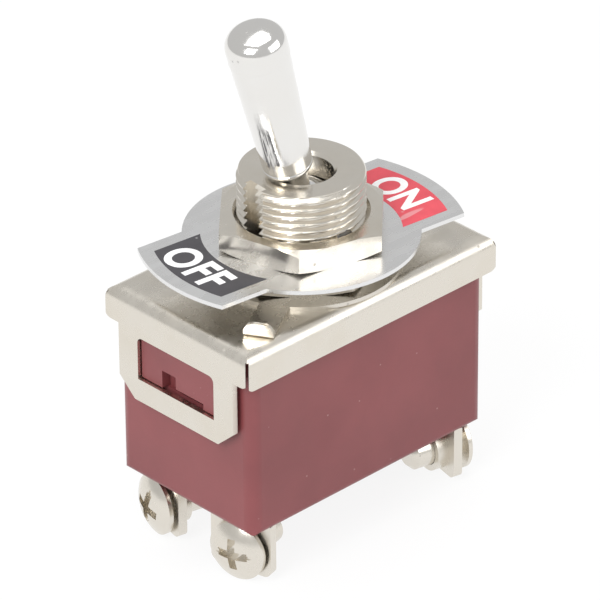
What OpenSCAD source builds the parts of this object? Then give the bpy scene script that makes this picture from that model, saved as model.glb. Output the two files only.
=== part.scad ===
// Two-pole panel toggle switch: a moulded housing under a folded steel cover, a threaded
// bushing with its hardware, a bat lever, and four screw terminals.
// Z = 0 is the cover's top face, the Z axis is the bushing's axis, the lever swings in XZ.
// OFF is towards -X and ON towards +X.  Front is -Y and rear is +Y.  Millimetres.

/* [Cover] */
// Length of the cover, along the lever's swing
cover_l = 31.6; // [29:0.1:38]
// Width of the cover
cover_w = 18.8; // [17.8:0.1:24]
// Thickness of the cover's sheet
sheet_t = 0.55; // [0.4:0.05:0.8]
// Outside radius of the cover's bends
bend_r = 1.3; // [0.9:0.1:2]
// Height of the skirts on the long sides
side_skirt_h = 3.5; // [2.5:0.1:6]
// Height of the skirts on the short ends
end_skirt_h = 3.2; // [2.2:0.1:5]
// Radius of the skirts' lower corners
skirt_corner_r = 0.9; // [0.4:0.1:1.6]
// Width of the relief slit at each corner
relief_w = 0.3; // [0.2:0.05:0.6]
// Width of the ear at each end
ear_w = 15; // [12:0.1:16.5]
// Reach of the ears below the cover's top face
ear_reach = 10.4; // [9.4:0.1:13]
// Width of the ears' cut lower corners
ear_cut_w = 2; // [1:0.1:3]
// Height of the ears' cut lower corners
ear_cut_h = 1.8; // [1:0.1:3]
// Width of the window in each ear
window_w = 10; // [8:0.1:11]
// Height of the window in each ear
window_h = 4.4; // [3.5:0.1:4.9]
// Depth of the window's upper edge below the cover's top face
window_top = 3.7; // [3.4:0.1:4]
// Radius of the window's upper corners
window_r = 0.6; // [0.3:0.1:1]

/* [Housing] */
// Depth of the housing's underside below the cover's top face
housing_depth = 19.5; // [19:0.1:26]
// Gap between the housing's ends and the cover's ears
end_gap = 0.5; // [0.2:0.05:0.8]
// Gap between the housing's long sides and the cover's skirts
side_gap = 0.05; // [0.02:0.01:0.2]
// Thickness of the housing's end walls
end_wall = 1.2; // [1:0.1:1.3]
// Thickness of the housing's long walls
side_wall = 1.4; // [1:0.1:1.5]
// Thickness of the housing's floor
floor_t = 2.5; // [2:0.1:3]
// Thickness of the partition between the poles
partition_t = 1.2; // [0.8:0.1:1.8]
// Gap over the partition, under the swinging actuator
partition_gap = 1.1; // [0.5:0.1:2]
// Radius of the housing's upright edges
edge_r = 1.2; // [0.6:0.1:2]
// Radius of the housing's lower edges
foot_r = 0.6; // [0.3:0.1:1]
// Setback of the locking lugs behind the ears' outer faces
lug_setback = 0.4; // [0.2:0.05:0.5]
// Gap between a lug and the window's edge
lug_gap = 0.12; // [0.05:0.01:0.3]
// Depth of the release pocket in each lug
pocket_d = 1; // [0.6:0.1:1.3]
// Width of the release pocket's slot
pocket_slot_w = 5.4; // [3:0.1:6]
// Height of the release pocket's slot
pocket_slot_h = 0.6; // [0.4:0.1:1]
// Width of the release pocket's notch
pocket_notch_w = 1.8; // [1:0.1:3]
// Height of the release pocket's notch
pocket_notch_h = 1.8; // [1.2:0.1:2.5]
// Offset of the release pocket from the lug's middle
pocket_offset = 0.5; // [0:0.1:1.5]

/* [Bushing] */
// Diameter over the thread's crests
thread_d = 11.8; // [11.6:0.05:12]
// Depth of the thread's middle below its crests, where nuts and bushing meet
thread_mid_depth = 0.25; // [0.2:0.01:0.35]
// Height of the bushing above the cover's top face
bushing_h = 9.6; // [8.4:0.1:13]
// Radial size of the chamfer on the bushing's rim
rim_chamfer = 0.26; // [0.1:0.02:0.5]
// Radius of the mouth that the lever's neck passes through
mouth_r = 2.95; // [2.9:0.05:3.4]
// Chamfer on the mouth's edge
mouth_chamfer = 0.35; // [0.3:0.05:0.6]
// Length of the mouth
mouth_l = 2.4; // [1.8:0.1:2.4]
// Radius of the chamber round the lever's ball
chamber_r = 4.1; // [4:0.05:4.3]
// Height of the cone between the mouth and the chamber
chamber_cone_h = 0.9; // [0.6:0.1:1]
// Radius of the bushing's flange under the cover
flange_r = 6.8; // [6.4:0.1:7.2]
// Thickness of the bushing's flange
flange_t = 1.7; // [1.2:0.1:2]
// Width of the keyway
key_w = 2.2; // [1.8:0.1:2.6]
// Depth of the keyway below the thread's crests
key_d = 1; // [0.7:0.1:1.1]
// Turn of the keyway from the OFF direction, in degrees
key_turn = -5; // [-8:1:8]

/* [Nuts, washer and plate] */
// Width of the nuts across their flats
nut_af = 14.65; // [13.8:0.05:16]
// Height of the nuts
nut_h = 2.25; // [1.9:0.05:2.4]
// Height of the chamfer on the nuts' corners
nut_chamfer = 0.35; // [0.2:0.05:0.5]
// Depth of the countersink in the nuts' bores
nut_sink = 0.6; // [0.3:0.05:0.7]
// Turn of the upper nut, in degrees
nut_turn = 44.5; // [0:0.5:60]
// Turn of the lower nut, in degrees
lower_nut_turn = 20; // [0:0.5:60]
// Thickness of the locating washer
washer_t = 0.4; // [0.3:0.05:0.6]
// Outside radius of the locating washer
washer_r = 9.2; // [8.4:0.1:9.3]
// Width of the washer's tongue
tongue_w = 2.8; // [2:0.1:3.5]
// Reach of the washer's tongue from the bushing's axis
tongue_reach = 14.4; // [12:0.1:14.6]
// Height of the tongue's upturned tip above the washer
tongue_tip_h = 1; // [0.6:0.1:1.5]
// Direction of the tongue from the OFF direction, in degrees
tongue_turn = 30.5; // [0:0.5:31]
// Thickness of the indicator plate
plate_t = 0.4; // [0.3:0.05:0.6]
// Radius of the indicator plate's disc
plate_r = 10.87; // [10:0.05:12]
// Reach of the indicator plate's two tabs from its centre
tab_reach = 15.1; // [14:0.1:17]
// Width of the indicator plate's tabs
tab_w = 12.9; // [10:0.1:14]
// Turn of the indicator plate, in degrees
plate_turn = -7; // [-7.5:0.5:-2.5]
// Radial gap between the thread's crests and the holes in the washer and plate
bore_gap = 0.25; // [0.1:0.05:0.3]

/* [Lever] */
// Height of the lever's pivot above the cover's top face
pivot_h = 4.6; // [4.4:0.05:4.9]
// Lean of the lever to either side, in degrees
lever_lean = 15.5; // [12:0.5:15.5]
// Radius of the pivot pin
pin_r = 0.9; // [0.7:0.05:1.1]
// Radial running clearance of the lever on its pin
pin_run_gap = 0.04; // [0.02:0.01:0.08]
// Radius of the lever's ball
ball_r = 3.7; // [3.4:0.05:3.75]
// Radius of the lever's neck in the bushing's mouth
neck_r = 1.5; // [1.3:0.05:1.55]
// Distance from the pivot to the foot of the bat
bat_start = 5.9; // [5.85:0.05:7]
// Distance from the pivot to the crease under the bat's knob
bat_crease = 18.8; // [14:0.1:19.5]
// Distance from the pivot to the top of the bat
bat_top = 21.95; // [21.5:0.05:27]
// Radius of the bat at its foot
bat_foot_r = 2.3; // [2:0.05:2.6]
// Radius of the bat at the crease
bat_crease_r = 2.76; // [2.5:0.02:3]
// Radius of the bat's knob above the crease
knob_r = 2.82; // [2.78:0.02:3.2]
// Rounding of the bat's foot
foot_round = 0.45; // [0.2:0.05:0.8]
// Distance from the bat's foot to the ring groove round it
ring_rise = 0.6; // [0.5:0.05:1.5]
// Width and depth of the ring groove
ring_groove = 0.08; // [0.04:0.02:0.14]
// Rounding of the knob's shoulder
shoulder_round = 1.55; // [0.8:0.05:1.8]
// Radius of the crown on top of the knob
crown_r = 6; // [4:0.5:12]
// Radius of the stem below the ball
stem_r = 1.6; // [1.3:0.05:1.8]

/* [Actuator] */
// Distance from the pivot to the top of the actuator block
yoke_start = 8.6; // [8.4:0.1:9]
// Height of the actuator block
yoke_h = 4.3; // [4:0.1:4.6]
// Length of the actuator block along the lever's swing
yoke_l = 5.2; // [4.4:0.1:5.4]
// Width of the actuator block across both poles
yoke_w = 12.6; // [11.6:0.1:13]
// Distance of each pole from the middle of the switch
pole_y = 4.1; // [4:0.05:4.3]
// Radius of the plungers
plunger_r = 1.35; // [1.2:0.05:1.45]
// Radial clearance of the plungers and of the stem in the block
plunger_gap = 0.05; // [0.02:0.01:0.1]
// Distance from the pivot to the plungers' tips
plunger_reach = 15; // [14.6:0.1:15.3]
// Travel of the plungers into the block
plunger_travel = 1; // [0.6:0.1:1.1]
// Thickness of the block above the plungers' holes
yoke_roof = 1; // [0.8:0.1:1.2]
// Wall of the hollow plungers
plunger_wall = 0.3; // [0.25:0.05:0.4]
// Thickness of the plungers' closed ends
plunger_nose = 1.4; // [1.3:0.1:1.8]
// Wire diameter of the plunger springs
spring_wire = 0.26; // [0.2:0.02:0.3]
// Turns of the plunger springs
spring_turns = 6; // [4:1:8]

/* [Contacts] */
// Thickness of the rockers' strip
rocker_t = 1.1; // [0.9:0.1:1.3]
// Width of the rockers
rocker_w = 4; // [3:0.1:4.4]
// Reach of a rocker from its pivot to the contact end
rocker_contact_end = 8.2; // [7.8:0.1:8.6]
// Reach of a rocker from its pivot to the plain end
rocker_plain_end = 6.5; // [5.6:0.1:7.5]
// Rise of the rockers' arms from the middle, in degrees
rocker_rise = 12; // [10:0.5:13]
// Distance from the pivot to where the arms level out
rocker_knee = 4; // [3.6:0.1:4.6]
// Tilt of the rockers to either side, in degrees
rocker_tilt = 8; // [6:0.5:9]
// Gap between the plungers' lowest point and the rockers
rocker_gap = 0.4; // [0.3:0.05:0.6]
// Radius of the saddle's rounded top, on which a rocker tilts
saddle_r = 0.5; // [0.4:0.05:0.6]
// Radial running clearance of the rockers on their saddles
saddle_gap = 0.05; // [0.02:0.01:0.1]
// Distance from the rocker's pivot to its contact
contact_x = 6.8; // [6:0.1:7]
// Radius of the contacts' heads
contact_r = 1.2; // [0.9:0.1:1.4]
// Height of the contacts' heads
contact_h = 1.2; // [0.9:0.1:1.4]
// Radius of the contacts' riveted shanks
rivet_r = 0.6; // [0.4:0.05:0.8]
// Gap left between closed contacts
contact_gap = 0.1; // [0.05:0.01:0.2]

/* [Terminals] */
// Setback of the terminals' outer faces behind the housing's ends
terminal_setback = 1.7; // [1.65:0.05:1.9]
// Distance of the terminals' middles from the housing's long sides
terminal_edge = 3.45; // [3.4:0.05:3.8]
// Angle by which the terminals splay outwards, in degrees
terminal_splay = 13; // [0:0.5:14]
// Thickness of the terminals' strip
terminal_t = 0.9; // [0.7:0.05:1]
// Width of the terminals below the housing
terminal_w = 6.5; // [5.6:0.1:6.8]
// Reach of the terminals below the housing
terminal_reach = 5.5; // [5:0.1:7]
// Radius of the terminals' lower corners
terminal_corner_r = 0.8; // [0.4:0.1:1.4]
// Width of the terminals inside the housing
neck_w = 3; // [2.4:0.1:3]
// Clearance of the terminals' necks in the floor
neck_gap = 0.05; // [0.02:0.01:0.08]
// Depth of the screws' axes below the housing
screw_drop = 3.2; // [3.1:0.1:3.4]
// Radius of the screws' thread
screw_r = 1.7; // [1.5:0.05:1.8]
// Radial gap between the screws and the terminals' holes
screw_gap = 0.04; // [0.02:0.01:0.1]
// Length of the screws under their heads
screw_l = 5.2; // [4.6:0.1:5.6]
// Radius of the collar drawn up round each screw hole
collar_r = 2.3; // [2.1:0.05:2.5]
// Length of the collar behind the terminal
collar_l = 1.1; // [0.8:0.1:1.4]
// Radius of the screws' heads
head_r = 2.9; // [2.6:0.05:3]
// Height of the screws' heads
head_h = 1.35; // [1.1:0.05:1.7]
// Height of the upright rim of the screws' heads
head_rim_h = 0.4; // [0.3:0.05:0.8]
// Length of the driver slot across the screws' heads
slot_l = 4.6; // [3.5:0.1:5]
// Length of the cross recess in the screws' heads
cross_l = 3.1; // [2.4:0.1:3.6]
// Width of the cross recess
cross_w = 0.8; // [0.6:0.05:1]
// Width of the driver slot
slot_w = 0.35; // [0.25:0.05:0.6]

/* [Hidden] */
$fn = 64;
small = 0.01;
side = [-1, 1];                       // front and rear pole
thread_r = thread_d / 2;
mean_r = thread_r - thread_mid_depth;
core_gap = 0.03;                      // radial gap between the nuts' bores and the mean thread
hole_r = thread_r + bore_gap;

plate_z = washer_t + nut_h;           // underside of the indicator plate
nut_z = plate_z + plate_t;            // underside of the upper nut
thread_z = nut_z + nut_h + 0.05;      // start of the bare thread

housing_l = cover_l - 2 * (sheet_t + end_gap);
housing_w = cover_w - 2 * (sheet_t + side_gap);
floor_z = floor_t - housing_depth;    // top of the housing's floor
terminal_x = housing_l / 2 - terminal_setback;
terminal_y = housing_w / 2 - terminal_edge;
cavity_l = housing_l - 2 * end_wall;
cavity_w = housing_w - 2 * side_wall;
yoke_end = yoke_start + yoke_h;
partition_z = pivot_h - yoke_end - yoke_l / 2 * sin(lever_lean) - partition_gap;

rocker_z = pivot_h - plunger_reach - rocker_gap - rocker_t;
rise_h = rocker_knee * tan(rocker_rise);
// Lowest point of a closed rocker contact, and the tab that carries its partner
contact_low_z = rocker_z - contact_x * sin(rocker_tilt)
              - (contact_h - rise_h) * cos(rocker_tilt);
fixed_contact_h = 0.7;
contact_dome = 0.25;
tab_z = contact_low_z - contact_gap - fixed_contact_h;
tab_inner_x = contact_x - contact_r - 0.1;
tab_half_w = 1.7;

// Turn of each terminal about Z, so that its own +X faces outwards
function terminal_turn(sx, sy) = sx > 0 ? sy * terminal_splay : 180 - sy * terminal_splay;
// Gap under each screw head and turn of its recess: front OFF, rear OFF, front ON, rear ON
screws = [
    [-1, -1, 0.3, 4],
    [-1, 1, 0.3, 78],
    [1, -1, 1, 35],
    [1, 1, 0.5, 0]
];

// ---- shared shapes ----

// Rectangle with round corners, centred
module rounded_rect(l, w, r) {
    square([l - 2 * r, w], center = true);
    square([l, w - 2 * r], center = true);
    for (x = side, y = side) translate([x * (l / 2 - r), y * (w / 2 - r)]) circle(r);
}

// Upright strip from z = low to z = 0 whose lower corners are round
module round_foot_rect(w, low, r) {
    translate([-w / 2, -low + r]) square([w, low - r]);
    translate([-w / 2 + r, -low]) square([w - 2 * r, r + small]);
    for (x = side) translate([x * (w / 2 - r), -low + r]) circle(r);
}

// Profile with round upper corners, top at z = 0
module round_top_rect(w, low, r) {
    translate([0, -low]) mirror([0, 1]) round_foot_rect(w, low, r);
}

// Extrudes an XZ profile along Y, centred on y = 0
module along_y(w) { translate([0, w / 2, 0]) rotate([90, 0, 0]) linear_extrude(w) children(); }

// Extrudes a YZ profile along X, centred on x = 0
module along_x(l) { translate([-l / 2, 0, 0]) rotate([90, 0, 90]) linear_extrude(l) children(); }

// Frame of a terminal: origin on its outer face, +X outwards
module at_terminal(sx, sy) {
    translate([sx * terminal_x, sy * terminal_y, 0]) rotate([0, 0, terminal_turn(sx, sy)]) children();
}

// Frame of the lever: origin at the pivot, +Z along the lever
module at_lever() { translate([0, 0, pivot_h]) rotate([0, -lever_lean, 0]) children(); }

// Frame of a rocker: origin at its pivot
module at_rocker(sy) { translate([0, sy * pole_y, rocker_z]) rotate([0, rocker_tilt, 0]) children(); }

// ---- housing and cover ----

module lug() {
    lug_w = window_w - 2 * lug_gap;
    lug_h = window_h - 2 * lug_gap;
    lug_x = cover_l / 2 - lug_setback;
    translate([0, -lug_w / 2, -window_top - lug_gap - lug_h]) cube([lug_x, lug_w, lug_h]);
}

// L-shaped release pocket at the lug's lower edge
module release_pocket() {
    face_x = cover_l / 2 - lug_setback;
    low_z = -window_top - window_h;
    start_y = pocket_offset - pocket_slot_w / 2;
    translate([face_x - pocket_d, start_y, low_z]) {
        cube([pocket_d + 1, pocket_slot_w, pocket_slot_h + lug_gap]);
        cube([pocket_d + 1, pocket_notch_w, pocket_notch_h + lug_gap]);
    }
}

// Side view of the housing's body; its upper corners clear the inside of the cover's bends
module housing_profile(l) {
    brow_r = bend_r - sheet_t + side_gap;
    intersection() {
        round_foot_rect(l, housing_depth, foot_r);
        translate([0, -sheet_t]) round_top_rect(l, 2 * housing_depth, brow_r);
    }
}

module housing() {
    slot_w = neck_w + 2 * neck_gap;
    slot_t = terminal_t + 2 * neck_gap;
    color([0.50, 0.17, 0.18]) difference() {
        union() {
            intersection() {
                translate([0, 0, -housing_depth])
                    linear_extrude(housing_depth - sheet_t) rounded_rect(housing_l, housing_w, edge_r);
                along_y(housing_w) housing_profile(housing_l);
                along_x(housing_l) housing_profile(housing_w);
            }
            lug();
            rotate(180) lug();
        }
        difference() {
            translate([-cavity_l / 2, -cavity_w / 2, floor_z]) cube([cavity_l, cavity_w, -floor_z]);
            translate([-cavity_l / 2, -partition_t / 2, floor_z])
                cube([cavity_l, partition_t, partition_z - floor_z]);
        }
        release_pocket();
        rotate(180) release_pocket();
        for (sx = side, sy = side) at_terminal(sx, sy)
            translate([-terminal_t - neck_gap, -slot_w / 2, -housing_depth - 1])
                cube([slot_t, slot_w, floor_t + 2]);
    }
}

module cover_solid(inset, r) {
    intersection() {
        along_y(cover_w) translate([0, -inset]) round_top_rect(cover_l - 2 * inset, ear_reach, r);
        along_x(cover_l) translate([0, -inset]) round_top_rect(cover_w - 2 * inset, ear_reach, r);
    }
}

// Outline of one end flap with its ear, seen from the end, top at z = 0
module end_outline() {
    round_foot_rect(cover_w + 2 * small, end_skirt_h, skirt_corner_r);
    polygon([
        [-ear_w / 2, 0], [-ear_w / 2, -ear_reach + ear_cut_h],
        [-ear_w / 2 + ear_cut_w, -ear_reach], [ear_w / 2 - ear_cut_w, -ear_reach],
        [ear_w / 2, -ear_reach + ear_cut_h], [ear_w / 2, 0]
    ]);
}

module window_outline() {
    translate([0, -window_top]) {
        round_top_rect(window_w, window_h, window_r);
        translate([-window_w / 2, -window_h]) square([window_w, window_h / 2]);
    }
}

module cover() {
    relief_l = 2 * bend_r;
    color([0.80, 0.78, 0.74]) difference() {
        intersection() {
            difference() {
                cover_solid(0, bend_r);
                cover_solid(sheet_t, bend_r - sheet_t);
            }
            union() {
                along_x(cover_l) end_outline();
                along_y(cover_w) round_foot_rect(cover_l, side_skirt_h, skirt_corner_r);
            }
            // The ears stand only on the ends, the long skirts only on the sides
            union() {
                translate([-cover_l / 2, -cover_w / 2, -side_skirt_h]) cube([cover_l, cover_w, side_skirt_h]);
                along_x(cover_l) translate([-ear_w / 2, -ear_reach]) square([ear_w, ear_reach]);
            }
        }
        along_x(cover_l + 2) window_outline();
        for (sx = side, sy = side)
            translate([sx * cover_l / 2, sy * cover_w / 2, -ear_reach])
                rotate(sx * sy * 45) cube([relief_l, relief_w, 2 * (ear_reach - sheet_t)], center = true);
        translate([0, 0, -1]) cylinder(h = 2, r = mean_r + core_gap);
    }
}

// ---- bushing, pin and hardware ----

module bushing() {
    flange_z = -sheet_t - flange_t;
    mouth_z = bushing_h - mouth_l;
    color([0.78, 0.75, 0.70]) difference() {
        union() {
            translate([0, 0, flange_z]) cylinder(h = flange_t, r = flange_r);
            translate([0, 0, flange_z]) cylinder(h = bushing_h - flange_z - 1, r = mean_r);
            translate([0, 0, thread_z]) cylinder(h = bushing_h - rim_chamfer - thread_z, r = thread_r);
            translate([0, 0, bushing_h - rim_chamfer])
                cylinder(h = rim_chamfer, r1 = thread_r, r2 = thread_r - rim_chamfer);
        }
        translate([0, 0, flange_z - 1]) cylinder(h = mouth_z - chamber_cone_h - flange_z + 1, r = chamber_r);
        translate([0, 0, mouth_z - chamber_cone_h]) cylinder(h = chamber_cone_h, r1 = chamber_r, r2 = mouth_r);
        translate([0, 0, mouth_z - small]) cylinder(h = mouth_l + 1, r = mouth_r);
        translate([0, 0, bushing_h - mouth_chamfer])
            cylinder(h = mouth_chamfer + small, r1 = mouth_r, r2 = mouth_r + mouth_chamfer + small);
        rotate(180 + key_turn) translate([thread_r - key_d, -key_w / 2, 0]) cube([key_d + 1, key_w, bushing_h + 1]);
        translate([0, 0, pivot_h]) rotate([90, 0, 0]) cylinder(h = 4 * thread_r, r = pin_r + small, center = true);
    }
}

module pivot_pin() {
    pin_l = 2 * (mean_r - 0.15);
    color([0.65, 0.65, 0.66])
        translate([0, 0, pivot_h]) rotate([90, 0, 0]) cylinder(h = pin_l, r = pin_r, center = true);
}

// Key that reaches into the bushing's keyway
module key_tongue() {
    key_r = thread_r - key_d + 0.3;
    rotate(180) translate([key_r, -key_w / 2 + 0.25]) square([hole_r - key_r + 0.3, key_w - 0.5]);
}

// Tongue along +X from the washer's rim, with its end bent up to enter the panel
module washer_tongue() {
    tip_z = washer_t + tongue_tip_h;
    intersection() {
        along_y(tongue_w) {
            translate([hole_r + 1, 0]) square([tongue_reach - washer_t - hole_r - 1, washer_t]);
            translate([tongue_reach - washer_t, washer_t]) square([washer_t, tongue_tip_h]);
            translate([tongue_reach - washer_t, washer_t]) intersection() {
                circle(washer_t);
                translate([0, -washer_t]) square(washer_t);
            }
        }
        translate([tongue_reach / 2, 0, tip_z]) along_x(tongue_reach)
            round_top_rect(tongue_w, 2 * tip_z, tongue_w / 3);
    }
}

module locating_washer() {
    color([0.74, 0.71, 0.66]) {
        linear_extrude(washer_t) {
            difference() {
                circle(washer_r);
                circle(hole_r);
            }
            rotate(key_turn) key_tongue();
        }
        rotate(180 + tongue_turn) washer_tongue();
    }
}

module nut(turn) {
    corner_r = nut_af / 2 / cos(30);
    ring_r = nut_af / 2 + 0.15;
    sink_r = mean_r + core_gap + nut_sink;
    difference() {
        intersection() {
            rotate(turn) cylinder(h = nut_h, r = corner_r, $fn = 6);
            rotate_extrude() polygon([
                [0, 0], [ring_r, 0], [corner_r, nut_chamfer],
                [corner_r, nut_h - nut_chamfer], [ring_r, nut_h], [0, nut_h]
            ]);
        }
        translate([0, 0, -1]) cylinder(h = nut_h + 2, r = mean_r + core_gap);
        translate([0, 0, nut_h - nut_sink]) cylinder(h = nut_sink + small, r1 = mean_r + core_gap, r2 = sink_r);
        translate([0, 0, -small]) cylinder(h = nut_sink, r1 = sink_r, r2 = mean_r + core_gap);
    }
}

module lower_nut() { color([0.74, 0.71, 0.66]) translate([0, 0, washer_t]) nut(lower_nut_turn); }

module upper_nut() { color([0.80, 0.77, 0.72]) translate([0, 0, nut_z]) nut(nut_turn); }

module indicator_plate() {
    color([0.88, 0.88, 0.87]) translate([0, 0, plate_z]) rotate(plate_turn) linear_extrude(plate_t) {
        difference() {
            union() {
                circle(plate_r);
                intersection() {
                    circle(tab_reach);
                    square([2 * tab_reach, tab_w], center = true);
                }
            }
            circle(hole_r);
        }
        key_tongue();
    }
}

// ---- lever and actuator ----

module bat_profile() {
    shoulder_x = knob_r - shoulder_round;
    crown_z = bat_top - crown_r;          // centre of the crown's arc
    shoulder_z = crown_z + sqrt(pow(crown_r - shoulder_round, 2) - shoulder_x * shoulder_x);
    lean = shoulder_x / (shoulder_z - crown_z);
    groove_z = bat_start + ring_rise;
    difference() {
        intersection() {
            union() {
                polygon([
                    [0, bat_start], [bat_foot_r - foot_round, bat_start],
                    [bat_foot_r, bat_start + foot_round], [bat_crease_r, bat_crease],
                    [knob_r, bat_crease + knob_r - bat_crease_r], [knob_r, shoulder_z], [0, shoulder_z]
                ]);
                translate([bat_foot_r - foot_round, bat_start + foot_round]) circle(foot_round);
                translate([shoulder_x, shoulder_z]) circle(shoulder_round);
                intersection() {
                    translate([0, crown_z]) circle(crown_r);
                    polygon([[0, crown_z], [lean * (bat_top + 1 - crown_z), bat_top + 1], [0, bat_top + 1]]);
                }
            }
            translate([0, bat_start]) square([knob_r, bat_top - bat_start]);
        }
        polygon([
            [bat_foot_r - ring_groove, groove_z], [bat_foot_r + 1, groove_z - 1 - ring_groove],
            [bat_foot_r + 1, groove_z + 1 + ring_groove]
        ]);
    }
}

module lever() {
    color([0.86, 0.86, 0.86]) at_lever() difference() {
        union() {
            sphere(ball_r);
            cylinder(h = bat_start + small, r = neck_r);
            rotate_extrude() bat_profile();
            translate([0, 0, -yoke_end]) cylinder(h = yoke_end, r = stem_r);
        }
        rotate([90, 0, 0]) cylinder(h = 3 * ball_r, r = pin_r + pin_run_gap, center = true);
    }
}

module actuator() {
    hole_h = yoke_h - yoke_roof;
    color([0.12, 0.12, 0.13]) at_lever() translate([0, 0, -yoke_end]) difference() {
        linear_extrude(yoke_h) rounded_rect(yoke_l, yoke_w, 1);
        translate([0, 0, -1]) cylinder(h = yoke_h + 2, r = stem_r + plunger_gap);
        for (sy = side) translate([0, sy * pole_y, -1]) cylinder(h = hole_h + 1, r = plunger_r + plunger_gap);
    }
}

plunger_top = yoke_start + yoke_roof + plunger_travel + 0.1;
spring_r = plunger_r - plunger_wall - plunger_gap - spring_wire / 2;
spring_top = yoke_start + yoke_roof + spring_wire / 2 + 0.02;
spring_low = plunger_reach - plunger_nose - spring_wire / 2 - 0.02;

module plunger(sy) {
    color([0.62, 0.45, 0.20]) at_lever() translate([0, sy * pole_y, 0]) difference() {
        union() {
            translate([0, 0, -plunger_reach + plunger_r])
                cylinder(h = plunger_reach - plunger_r - plunger_top, r = plunger_r);
            translate([0, 0, -plunger_reach + plunger_r]) sphere(plunger_r);
        }
        translate([0, 0, -plunger_reach + plunger_nose])
            cylinder(h = plunger_reach, r = plunger_r - plunger_wall);
    }
}

// Ring of points round the coil's wire at a given angle along the coil
coil_sides = 6;
coil_steps = 12;
function coil_ring(a, r, wire_r, z) = [
    for (k = [0 : coil_sides - 1]) let (w = 360 * k / coil_sides)
        [(r + wire_r * cos(w)) * cos(a), (r + wire_r * cos(w)) * sin(a), z + wire_r * sin(w)]
];

module coil(r, wire_r, low, high, turns) {
    rings = turns * coil_steps;
    points = [for (i = [0 : rings]) each
        coil_ring(i * 360 / coil_steps, r, wire_r, low + (high - low) * i / rings)];
    sides = [for (i = [0 : rings - 1], k = [0 : coil_sides - 1])
        let (a = i * coil_sides + k, b = i * coil_sides + (k + 1) % coil_sides)
        each [[a, a + coil_sides, b], [b, a + coil_sides, b + coil_sides]]];
    first_end = [[for (k = [0 : coil_sides - 1]) k]];
    last_end = [[for (k = [coil_sides - 1 : -1 : 0]) rings * coil_sides + k]];
    polyhedron(points, concat(sides, first_end, last_end));
}

module plunger_spring(sy) {
    color([0.70, 0.70, 0.72]) at_lever() translate([0, sy * pole_y, 0])
        coil(spring_r, spring_wire / 2, -spring_low, -spring_top, spring_turns);
}

// ---- contacts ----

module rocker(sy) {
    color([0.75, 0.48, 0.30]) at_rocker(sy) difference() {
        along_y(rocker_w) difference() {
            polygon([
                [0, 0], [rocker_knee, rise_h], [rocker_plain_end, rise_h],
                [rocker_plain_end, rise_h + rocker_t], [rocker_knee, rise_h + rocker_t], [0, rocker_t],
                [-rocker_knee, rise_h + rocker_t], [-rocker_contact_end, rise_h + rocker_t],
                [-rocker_contact_end, rise_h], [-rocker_knee, rise_h]
            ]);
            circle(saddle_r + saddle_gap);
        }
        translate([-contact_x, 0, 0]) cylinder(h = 4 * rocker_t, r = rivet_r + small);
    }
}

// Contact rivet, head from z = 0 up to h with a domed face, shank downwards
module contact_rivet(h, shank) {
    dome_r = (contact_r * contact_r + contact_dome * contact_dome) / (2 * contact_dome);
    cylinder(h = h - contact_dome, r = contact_r);
    intersection() {
        translate([0, 0, h - dome_r]) sphere(dome_r);
        translate([0, 0, h - contact_dome - small]) cylinder(h = contact_dome + 1, r = contact_r);
    }
    translate([0, 0, -shank]) cylinder(h = shank + small, r = rivet_r);
}

module rocker_contact(sy) {
    color([0.86, 0.86, 0.84]) at_rocker(sy) translate([-contact_x, 0, rise_h])
        rotate([180, 0, 0]) contact_rivet(contact_h, rocker_t);
}

module fixed_contact(sy) {
    color([0.86, 0.86, 0.84]) translate([-contact_x, sy * pole_y, tab_z])
        contact_rivet(fixed_contact_h, terminal_t);
}

// ---- terminals ----

// Blade below the housing, its collar and its neck up to z = top, in the terminal's frame
module blade(top) {
    screw_z = -housing_depth - screw_drop;
    difference() {
        union() {
            translate([-terminal_t, 0, 0]) rotate([90, 0, 90]) linear_extrude(terminal_t)
                intersection() {
                    round_foot_rect(terminal_w, housing_depth + terminal_reach, terminal_corner_r);
                    translate([-terminal_w, -2 * housing_depth]) square([2 * terminal_w, housing_depth]);
                }
            translate([-terminal_t, -neck_w / 2, -housing_depth - small])
                cube([terminal_t, neck_w, top + housing_depth + small]);
            translate([-terminal_t - collar_l, 0, screw_z]) rotate([0, 90, 0])
                cylinder(h = collar_l + small, r = collar_r);
        }
        translate([-terminal_t - collar_l - 1, 0, screw_z]) rotate([0, 90, 0])
            cylinder(h = terminal_t + collar_l + 2, r = screw_r + screw_gap);
    }
}

module fixed_terminal(sy) {
    color([0.80, 0.79, 0.76]) difference() {
        union() {
            at_terminal(-1, sy) blade(tab_z);
            translate([-terminal_x + terminal_t / 2, sy * pole_y - tab_half_w, tab_z - terminal_t])
                cube([terminal_x - terminal_t / 2 - tab_inner_x, 2 * tab_half_w, terminal_t]);
        }
        translate([-contact_x, sy * pole_y, tab_z - 2 * terminal_t]) cylinder(h = 3 * terminal_t, r = rivet_r + small);
    }
}

module common_terminal(sy) {
    color([0.80, 0.79, 0.76]) {
        at_terminal(1, sy) blade(floor_z + terminal_t);
        translate([-saddle_r, sy * pole_y - tab_half_w, floor_z])
            cube([terminal_x - terminal_t / 2 + saddle_r, 2 * tab_half_w, terminal_t]);
        translate([-saddle_r, sy * pole_y - tab_half_w, floor_z])
            cube([2 * saddle_r, 2 * tab_half_w, rocker_z - floor_z]);
        translate([0, sy * pole_y, rocker_z]) rotate([90, 0, 0])
            cylinder(h = 2 * tab_half_w, r = saddle_r, center = true);
    }
}

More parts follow.
